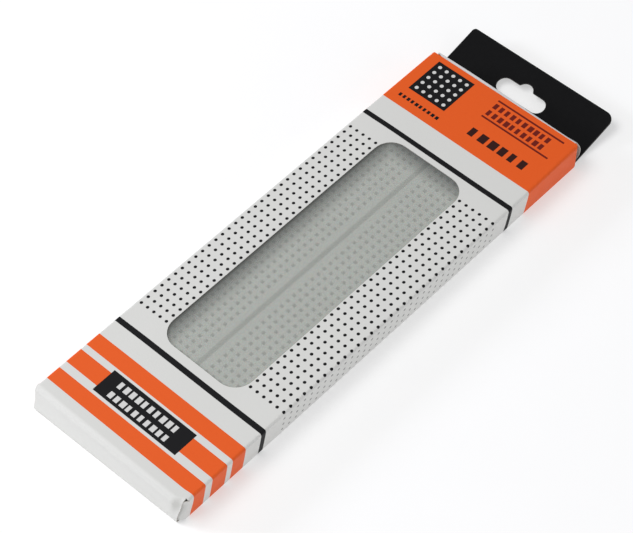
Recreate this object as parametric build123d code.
from build123d import *
import math
import os

# A full-size solderless breadboard packed in a folded paperboard hang-tab carton.
# X runs across, Y along towards the hang tab, Z up out of the carton's front.
# The origin is the centre of the back panel's outer face, on which the carton rests.
# Every size is in millimetres and every angle in degrees.

# ---- carton ----
CARTON_WIDTH = 57.1
CARTON_LENGTH = 168.4
CARTON_HEIGHT = 10.0
PAPER = 0.3
SIDE_FOLD = 1.2            # outer radius of the four long folds
BOTTOM_FOLD = 2.2          # outer radius of the soft fold from front to bottom closure
TUCK_FOLD = 0.6            # outer radius where a closure turns into its tongue
CREASE_GAP = 0.05          # free play left at each crease between two panels
PLY_GAP = 0.08             # air between plies that slide over each other
LAYER_GAP = 0.1            # air between closure, dust flap and board
OVERCUT = 1.0              # how far a cutting shape runs past what it cuts

WINDOW_WIDTH = 31.9
WINDOW_LENGTH = 97.6
WINDOW_CENTRE_Y = 0.9
WINDOW_CORNER = 6.4
FILM = 0.08
FILM_MARGIN = 3.5

CLOSURE_WIDTH = 54.6
TONGUE_WIDTH = 51.6
TONGUE_LENGTH = 7.0
TONGUE_CORNER = 2.5
DUST_FOLD = 1.0            # outer radius of the fold from side panel to dust flap
DUST_LENGTH = 11.0
DUST_TAPER = 30.0
DUST_PLAY = 0.2            # gap between a dust flap's edge and a fold or tongue
TOP_DUST_RISE = 1.15       # lower edge of the top dust flaps above the closure's hinge
TOP_HINGE_HEIGHT = 0.75

GLUE_FLAP_HEIGHT = 7.4
INNER_PLY_WIDTH = 53.0
INNER_PLY_LENGTH = 14.0

TAB_WIDTH = 56.2
TAB_LENGTH = 20.1
TAB_CORNER_LEFT = 1.5
TAB_CORNER_RIGHT = 3.0
TAB_TILT = 12.5            # the tab stands this far forward of the back panel
SLOT_WIDTH = 18.2
SLOT_HEIGHT = 5.5
SLOT_CENTRE = 9.4          # from the tab's crease to the middle of the hang slot
SLOT_BUMP_RADIUS = 2.55
SLOT_BUMP_RISE = 4.6       # top of the round bump above the middle of the slot
SLOT_FILLET = 0.7

# ---- breadboard ----
BOARD_LENGTH = 165.1
BOARD_WIDTH = 54.4
BOARD_OFFSET = (-0.75, 0.75)
BOARD_BOTTOM = 0.75        # clears the bottom tongue that lies on the back panel
BLOCK_WIDTH = 36.0
PITCH = 2.54
COLUMNS = 63
ROWS_PER_SIDE = 5
FIRST_ROW = 3.81           # from the ravine's middle to the nearest hole row
HOLE = 1.1
RAVINE_WIDTH = 1.6
RAVINE_DEPTH = 2.0
LINER = 0.1
FOAM = 0.8
BODY_HEIGHT = 7.55
ROOF = 1.6                 # plastic above the clip chambers
CHAMBER_WIDTH = 1.7
CHAMBER_MARGIN = 0.75
EDGE_CHAMFER = 0.3
BOARD_CORNER = 0.8

RAIL_GROUPS = 10
RAIL_GROUP_HOLES = 5
RAIL_LINES = (-PITCH / 2, PITCH / 2)
RAIL_CHAMBER_END = 1.25    # rail chamber past its outer hole centres

KEY_NECK = 3.0
KEY_HEAD = 4.4
KEY_DEPTH = 1.5
KEY_ROOT = 0.5             # how far a key is rooted in its rail
KEY_PLAY = 0.08
KEY_PLACES = (-62.0, -21.0, 21.0, 62.0)

# ---- spring clips ----
CLIP_SHEET = 0.15
CLIP_HALF_WIDTH = 0.65
CLIP_THROAT = 0.1          # half the gap where a wire is gripped
CLIP_MOUTH = 0.4
CLIP_BASE = 2.0
CLIP_SPINE = 2.8           # up to here the strip is in one piece, above it are fingers
CLIP_BEND = 3.2
CLIP_PINCH = 6.0
CLIP_TOP = 7.2
CLIP_SLIT = 0.5
CLIP_OVERHANG = 0.65       # clip past its outer hole centres

# ---- worked out ----
HALF_WIDTH = CARTON_WIDTH / 2
HALF_LENGTH = CARTON_LENGTH / 2
FLAT_HALF = HALF_WIDTH - SIDE_FOLD
BOTTOM_CREASE = -(HALF_LENGTH - BOTTOM_FOLD)
SIDE_END = HALF_LENGTH - PAPER - LAYER_GAP - DUST_FOLD
TUCK_LEVEL = PAPER + PLY_GAP
HINGE_AXIS_TAB = (0, HALF_LENGTH + CREASE_GAP, 0)
FOAM_BOTTOM = BOARD_BOTTOM + LINER
BODY_BOTTOM = FOAM_BOTTOM + FOAM
BODY_TOP = BODY_BOTTOM + BODY_HEIGHT
CHAMBER_TOP = BODY_TOP - ROOF
RAIL_WIDTH = (BOARD_WIDTH - BLOCK_WIDTH) / 2
RAIL_CENTRE = (BLOCK_WIDTH + RAIL_WIDTH) / 2
COLUMN_YS = [(i - (COLUMNS - 1) / 2) * PITCH for i in range(COLUMNS)]
ROW_XS = [FIRST_ROW + i * PITCH for i in range(ROWS_PER_SIDE)]
RAIL_SPAN = (RAIL_GROUPS * (RAIL_GROUP_HOLES + 1) - 2) * PITCH
RAIL_YS = [
    (g * (RAIL_GROUP_HOLES + 1) + i) * PITCH - RAIL_SPAN / 2
    for g in range(RAIL_GROUPS)
    for i in range(RAIL_GROUP_HOLES)
]


def block(xs, ys, zs):
    """A plain box between pairs of limits."""
    centre = [(low + high) / 2 for low, high in (xs, ys, zs)]
    sizes = [high - low for low, high in (xs, ys, zs)]
    return Pos(*centre) * Box(*sizes)


def rectangle_wire(centre_x, centre_y, width, length):
    """A closed rectangle in the XY plane, for use as one hole of a face."""
    return Pos(centre_x, centre_y) * Wire.make_rect(width, length)


def punched_plate(outline, holes, bottom, height):
    """A plate of the given outline, with every hole going right through."""
    face = Face(outline.face().outer_wire(), holes)
    return Pos(0, 0, bottom) * extrude(face, height, dir=(0, 0, 1))


def upright(wires, bottom, top):
    """Straight-sided cutters that stand on XY outlines between two levels."""
    return [
        Pos(0, 0, bottom) * extrude(Face(wire), top - bottom, dir=(0, 0, 1)) for wire in wires
    ]


def sheet_across(side_view, width):
    """A sheet of paper seen edge-on in the YZ plane, run across the carton along X."""
    return extrude(make_face(side_view), width / 2, both=True)


# ---- carton panels ----
def sleeve_ring():
    """The carton's cross-section: a thin rounded tube, drawn in the XZ plane."""
    outer = RectangleRounded(CARTON_WIDTH, CARTON_HEIGHT, SIDE_FOLD)
    inner = RectangleRounded(
        CARTON_WIDTH - 2 * PAPER, CARTON_HEIGHT - 2 * PAPER, SIDE_FOLD - PAPER
    )
    return Plane.XZ * Pos(0, CARTON_HEIGHT / 2) * (outer - inner)


def side_panel(side):
    """A side panel with half of both its long folds. side is -1 or 1."""
    tube = Pos(0, SIDE_END, 0) * extrude(sleeve_ring(), 2 * SIDE_END)
    edges = sorted((side * (FLAT_HALF + CREASE_GAP / 2), side * (HALF_WIDTH + OVERCUT)))
    keep = block(edges, (-HALF_LENGTH, HALF_LENGTH), (-OVERCUT, CARTON_HEIGHT + OVERCUT))
    return tube & keep


def front_panel():
    panel = block(
        (-FLAT_HALF, FLAT_HALF),
        (BOTTOM_CREASE, HALF_LENGTH),
        (CARTON_HEIGHT - PAPER, CARTON_HEIGHT),
    )
    window = Pos(0, WINDOW_CENTRE_Y, CARTON_HEIGHT) * extrude(
        RectangleRounded(WINDOW_WIDTH, WINDOW_LENGTH, WINDOW_CORNER), OVERCUT, both=True
    )
    return panel - window


def back_panel():
    return block((-FLAT_HALF, FLAT_HALF), (-HALF_LENGTH, HALF_LENGTH), (0, PAPER))


def glue_flap():
    """The seam flap, glued to the inside of the right side panel."""
    wall = HALF_WIDTH - PAPER
    low = SIDE_FOLD + CREASE_GAP
    return block((wall - PAPER, wall), (-SIDE_END, SIDE_END), (low, low + GLUE_FLAP_HEIGHT))


def back_inner_ply():
    """The short second ply on the back panel, which the top closure is hinged on."""
    end = HALF_LENGTH - LAYER_GAP
    half = INNER_PLY_WIDTH / 2
    return block((-half, half), (end - INNER_PLY_LENGTH, end), (PAPER, 2 * PAPER))


def window_film():
    top = CARTON_HEIGHT - PAPER
    sheet = RectangleRounded(
        WINDOW_WIDTH + 2 * FILM_MARGIN, WINDOW_LENGTH + 2 * FILM_MARGIN, FILM_MARGIN
    )
    return Pos(0, WINDOW_CENTRE_Y, top - FILM) * extrude(sheet, FILM)


def arc_yz(centre, radius, start, sweep):
    """An arc in the YZ plane, with angles turning from +Y towards +Z."""
    angles = [math.radians(start + sweep * share) for share in (0, 0.5, 1)]
    points = [
        (0, centre[0] + radius * math.cos(a), centre[1] + radius * math.sin(a)) for a in angles
    ]
    return ThreePointArc(*points)


def line_yz(*points):
    return Polyline(*[(0, y, z) for y, z in points])


def bottom_closure_panel():
    """Hangs from the front panel by a soft round fold and turns under at the back."""
    top_centre = (BOTTOM_CREASE, CARTON_HEIGHT - BOTTOM_FOLD)
    low_centre = (-HALF_LENGTH + TUCK_FOLD, TUCK_LEVEL + TUCK_FOLD)
    inner_top, inner_low = BOTTOM_FOLD - PAPER, TUCK_FOLD - PAPER
    outline = (
        arc_yz(top_centre, BOTTOM_FOLD, 90, 90)
        + line_yz((-HALF_LENGTH, top_centre[1]), (-HALF_LENGTH, low_centre[1]))
        + arc_yz(low_centre, TUCK_FOLD, 180, 90)
        + line_yz((low_centre[0], TUCK_LEVEL), (low_centre[0], TUCK_LEVEL + PAPER))
        + arc_yz(low_centre, inner_low, 270, -90)
        + line_yz((-HALF_LENGTH + PAPER, low_centre[1]), (-HALF_LENGTH + PAPER, top_centre[1]))
        + arc_yz(top_centre, inner_top, 180, -90)
        + line_yz((BOTTOM_CREASE, top_centre[1] + inner_top), (BOTTOM_CREASE, CARTON_HEIGHT))
    )
    return Pos(0, -CREASE_GAP, 0) * sheet_across(outline, CLOSURE_WIDTH)


def top_closure_panel():
    """Stands up from the back and turns in under the front panel's edge."""
    level = CARTON_HEIGHT - PAPER - PLY_GAP
    centre = (HALF_LENGTH - TUCK_FOLD, level - TUCK_FOLD)
    inner = TUCK_FOLD - PAPER
    foot = TOP_HINGE_HEIGHT + CREASE_GAP
    outline = (
        line_yz((HALF_LENGTH - PAPER, foot), (HALF_LENGTH, foot), (HALF_LENGTH, centre[1]))
        + arc_yz(centre, TUCK_FOLD, 0, 90)
        + line_yz((centre[0], level), (centre[0], level - PAPER))
        + arc_yz(centre, inner, 90, -90)
        + line_yz((HALF_LENGTH - PAPER, centre[1]), (HALF_LENGTH - PAPER, foot))
    )
    return sheet_across(outline, CLOSURE_WIDTH)


def tongue(root, towards, bottom):
    """A tuck tongue with two rounded free corners. towards is 1 or -1 along Y."""
    sheet = RectangleRounded(TONGUE_WIDTH, 2 * TONGUE_LENGTH, TONGUE_CORNER)
    half = Pos(0, TONGUE_LENGTH / 2) * Rectangle(TONGUE_WIDTH, TONGUE_LENGTH)
    shape = sheet & half
    turn = Rot(0, 0, 0 if towards > 0 else 180)
    return Pos(0, root, bottom) * turn * extrude(shape, PAPER)


def bottom_tuck_tongue():
    return tongue(-HALF_LENGTH + TUCK_FOLD - CREASE_GAP, 1, TUCK_LEVEL)


def top_tuck_tongue():
    level = CARTON_HEIGHT - PAPER - PLY_GAP
    return tongue(HALF_LENGTH - TUCK_FOLD, -1, level - PAPER)


def dust_flap(side, end):
    """A tapered flap folded in from a side panel. side and end are -1 or 1."""
    outer_y = SIDE_END + DUST_FOLD
    centre_x = HALF_WIDTH - DUST_FOLD
    profile = (
        Polyline((HALF_WIDTH - PAPER, SIDE_END), (HALF_WIDTH, SIDE_END))
        + RadiusArc((HALF_WIDTH, SIDE_END), (centre_x, outer_y), -DUST_FOLD)
        + Polyline(
            (centre_x, outer_y),
            (HALF_WIDTH - DUST_LENGTH, outer_y),
            (HALF_WIDTH - DUST_LENGTH, outer_y - PAPER),
            (centre_x, outer_y - PAPER),
        )
        + RadiusArc(
            (centre_x, outer_y - PAPER), (HALF_WIDTH - PAPER, SIDE_END), DUST_FOLD - PAPER
        )
    )
    strip = extrude(make_face(profile), CARTON_HEIGHT, dir=(0, 0, 1))
    low, high = dust_flap_levels(end)
    fall = (DUST_LENGTH - DUST_FOLD) * math.tan(math.radians(DUST_TAPER))
    root, tip = HALF_WIDTH + OVERCUT, HALF_WIDTH - DUST_LENGTH - OVERCUT
    slope_end = fall + OVERCUT * math.tan(math.radians(DUST_TAPER))
    if end < 0:
        edge = [(root, low), (root, high), (centre_x, high), (tip, high - slope_end), (tip, low)]
    else:
        edge = [(root, low), (root, high), (tip, high), (tip, low + slope_end), (centre_x, low)]
    outline = make_face(Polyline(*[(x, 0, z) for x, z in edge], close=True))
    flap = strip & extrude(outline, 2 * HALF_LENGTH, both=True)
    flap = Pos(0, CREASE_GAP, 0) * flap
    if end < 0:
        flap = mirror(flap, Plane.XZ)
    if side < 0:
        flap = mirror(flap, Plane.YZ)
    return flap


def dust_flap_levels(end):
    """Lowest and highest edge of a dust flap at its fold, clear of folds and tongue."""
    if end < 0:
        return TUCK_LEVEL + TUCK_FOLD + DUST_PLAY, CARTON_HEIGHT - BOTTOM_FOLD + DUST_PLAY
    return TOP_HINGE_HEIGHT + TOP_DUST_RISE, CARTON_HEIGHT - PAPER - PLY_GAP - TUCK_FOLD - DUST_PLAY


def hang_slot():
    """The euro-hook slot: a stadium with one round bump, and short fillets beside it."""
    bump_centre = SLOT_BUMP_RISE - SLOT_BUMP_RADIUS
    outline = SlotOverall(SLOT_WIDTH, SLOT_HEIGHT) + Pos(0, bump_centre) * Circle(SLOT_BUMP_RADIUS)
    waist = [v for v in outline.vertices() if abs(v.X) <= SLOT_BUMP_RADIUS and v.Y > bump_centre]
    return fillet(waist, SLOT_FILLET)


def hang_tab_ply(level):
    """One ply of the doubled hang tab. level is 0 for the back ply and 1 for the front."""
    sheet = Pos(0, TAB_LENGTH / 2) * Rectangle(TAB_WIDTH, TAB_LENGTH)
    for side, radius in ((-1, TAB_CORNER_LEFT), (1, TAB_CORNER_RIGHT)):
        corner = sheet.vertices().sort_by(lambda v: v.Y + side * v.X)[-1]
        sheet = fillet(corner, radius)
    sheet -= Pos(0, SLOT_CENTRE) * hang_slot()
    ply = Pos(0, CREASE_GAP, level * PAPER) * extrude(sheet, PAPER)
    return Pos(*HINGE_AXIS_TAB) * Rot(TAB_TILT, 0, 0) * ply


# ---- breadboard ----
def board_place(shape):
    return Pos(*BOARD_OFFSET, 0) * shape


def key_outline(side, grow):
    """A dovetail key's plan, pointing from the rail into the terminal block."""
    neck, head = KEY_NECK / 2 + grow, KEY_HEAD / 2 + grow
    root = side * (BLOCK_WIDTH / 2 + KEY_ROOT)
    tip = side * (BLOCK_WIDTH / 2 - KEY_DEPTH - grow)
    return make_face(
        Polyline((root, -neck), (tip, -head), (tip, head), (root, neck), close=True)
    )


def keys(side, grow, top):
    height = top - BODY_BOTTOM
    return [
        Pos(0, y, BODY_BOTTOM) * extrude(key_outline(side, grow), height) for y in KEY_PLACES
    ]


def eased_top(body):
    """Takes a small chamfer off the outline of a body's top face."""
    top = body.faces().sort_by(Axis.Z)[-1]
    return chamfer(top.outer_wire().edges(), EDGE_CHAMFER)


def terminal_block():
    """Body of the hole field, with a ravine and one clip chamber per half column."""
    outline = Rectangle(BLOCK_WIDTH, BOARD_LENGTH)
    middle = (ROW_XS[0] + ROW_XS[-1]) / 2
    chamber_length = ROW_XS[-1] - ROW_XS[0] + 2 * CHAMBER_MARGIN
    chambers = [
        rectangle_wire(side * middle, y, chamber_length, CHAMBER_WIDTH)
        for side in (-1, 1)
        for y in COLUMN_YS
    ]
    holes = [
        rectangle_wire(side * x, y, HOLE, HOLE)
        for side in (-1, 1)
        for x in ROW_XS
        for y in COLUMN_YS
    ]
    ravine = block(
        (-RAVINE_WIDTH / 2, RAVINE_WIDTH / 2),
        (-BOARD_LENGTH, BOARD_LENGTH),
        (BODY_TOP - RAVINE_DEPTH, BODY_TOP + OVERCUT),
    )
    roof = eased_top(Pos(0, 0, CHAMBER_TOP) * extrude(outline, ROOF))
    base = punched_plate(outline, chambers, BODY_BOTTOM, CHAMBER_TOP - BODY_BOTTOM)
    for side in (-1, 1):
        roof -= keys(side, KEY_PLAY, BODY_TOP + OVERCUT)
        base -= keys(side, KEY_PLAY, BODY_TOP + OVERCUT)
    roof -= [ravine]
    roof -= upright(holes, CHAMBER_TOP - OVERCUT, BODY_TOP + OVERCUT)
    base -= [ravine]
    return board_place(roof + base)


def power_rail(side):
    """A side rail: two lines of holes over two long chambers, keyed to the block."""
    centre = side * RAIL_CENTRE
    outline = Pos(centre, 0) * Rectangle(RAIL_WIDTH - CREASE_GAP, BOARD_LENGTH)
    chambers = [
        rectangle_wire(centre + line, 0, CHAMBER_WIDTH, RAIL_SPAN + 2 * RAIL_CHAMBER_END)
        for line in RAIL_LINES
    ]
    holes = [
        rectangle_wire(centre + line, y, HOLE, HOLE) for line in RAIL_LINES for y in RAIL_YS
    ]
    body = Pos(0, 0, BODY_BOTTOM) * extrude(outline, BODY_HEIGHT)
    uprights = body.edges().filter_by(Axis.Z).sort_by(lambda edge: side * edge.center().X)
    body = eased_top(fillet(uprights[-2:], BOARD_CORNER))
    body += keys(side, 0, BODY_TOP - EDGE_CHAMFER)
    body -= upright(chambers, BODY_BOTTOM - OVERCUT, CHAMBER_TOP)
    body -= upright(holes, CHAMBER_TOP - OVERCUT, BODY_TOP + OVERCUT)
    return board_place(body)


def clip_section():
    """Side view of a spring clip: a U whose two walls lean in, pinch and flare out."""
    right = [
        (CLIP_HALF_WIDTH, CLIP_BASE),
        (CLIP_HALF_WIDTH, CLIP_BEND),
        (CLIP_THROAT + CLIP_SHEET, CLIP_PINCH),
        (CLIP_MOUTH + CLIP_SHEET, CLIP_TOP),
        (CLIP_MOUTH, CLIP_TOP),
        (CLIP_THROAT, CLIP_PINCH),
        (CLIP_HALF_WIDTH - CLIP_SHEET, CLIP_BEND),
        (CLIP_HALF_WIDTH - CLIP_SHEET, CLIP_BASE + CLIP_SHEET),
    ]
    left = [(-across, level) for across, level in reversed(right)]
    return right + left


def spring_strip(contacts, along_x):
    """One strip of springy metal with a pair of fingers at each contact position."""
    start, end = contacts[0] - CLIP_OVERHANG, contacts[-1] + CLIP_OVERHANG
    length = end - start
    outline = make_face(Polyline(*[(0, a, z) for a, z in clip_section()], close=True))
    strip = Pos(start, 0, 0) * extrude(outline, length, dir=(1, 0, 0))
    slits = []
    for near, after in zip(contacts, contacts[1:]):
        wide = after - near - PITCH + CLIP_SLIT
        middle = (near + after) / 2
        slits.append(
            block(
                (middle - wide / 2, middle + wide / 2),
                (-CLIP_HALF_WIDTH - OVERCUT, CLIP_HALF_WIDTH + OVERCUT),
                (CLIP_SPINE, CLIP_TOP + OVERCUT),
            )
        )
    strip -= slits
    return strip if along_x else Rot(0, 0, 90) * strip


def terminal_clips(side):
    """The five-way clips of one half of the terminal block, one per column."""
    clip = spring_strip([x - (ROW_XS[0] + ROW_XS[-1]) / 2 for x in ROW_XS], True)
    middle = side * (ROW_XS[0] + ROW_XS[-1]) / 2
    solids = [board_place(Pos(middle, y, 0) * clip).solid() for y in COLUMN_YS]
    return Compound(solids)


def rail_strip(side, line):
    """The long contact strip under one line of a power rail."""
    strip = spring_strip(RAIL_YS, False)
    return board_place(Pos(side * RAIL_CENTRE + line, 0, 0) * strip)


def backing_sheet(bottom, thickness):
    sheet = RectangleRounded(BOARD_WIDTH, BOARD_LENGTH, BOARD_CORNER)
    return board_place(Pos(0, 0, bottom) * extrude(sheet, thickness))


def foam_backing():
    return backing_sheet(FOAM_BOTTOM, FOAM)


def release_liner():
    return backing_sheet(BOARD_BOTTOM, LINER)


NODES = {
    "front_panel": front_panel,
    "back_panel": back_panel,
    "side_panel_left": lambda: side_panel(-1),
    "side_panel_right": lambda: side_panel(1),
    "glue_flap": glue_flap,
    "back_inner_ply": back_inner_ply,
    "window_film": window_film,
    "bottom_closure_panel": bottom_closure_panel,
    "bottom_tuck_tongue": bottom_tuck_tongue,
    "bottom_dust_flap_left": lambda: dust_flap(-1, -1),
    "bottom_dust_flap_right": lambda: dust_flap(1, -1),
    "top_closure_panel": top_closure_panel,
    "top_tuck_tongue": top_tuck_tongue,
    "top_dust_flap_left": lambda: dust_flap(-1, 1),
    "top_dust_flap_right": lambda: dust_flap(1, 1),
    "hang_tab_back_ply": lambda: hang_tab_ply(0),
    "hang_tab_front_ply": lambda: hang_tab_ply(1),
    "terminal_block": terminal_block,
    "power_rail_left": lambda: power_rail(-1),
    "power_rail_right": lambda: power_rail(1),
    "terminal_clips_left": lambda: terminal_clips(-1),
    "terminal_clips_right": lambda: terminal_clips(1),
    "rail_strip_left_outer": lambda: rail_strip(-1, RAIL_LINES[0]),
    "rail_strip_left_inner": lambda: rail_strip(-1, RAIL_LINES[1]),
    "rail_strip_right_inner": lambda: rail_strip(1, RAIL_LINES[0]),
    "rail_strip_right_outer": lambda: rail_strip(1, RAIL_LINES[1]),
    "foam_backing": foam_backing,
    "release_liner": release_liner,
}

os.makedirs("parts", exist_ok=True)
for name, make in NODES.items():
    export_step(make(), f"parts/{name}.step", write_pcurves=False)
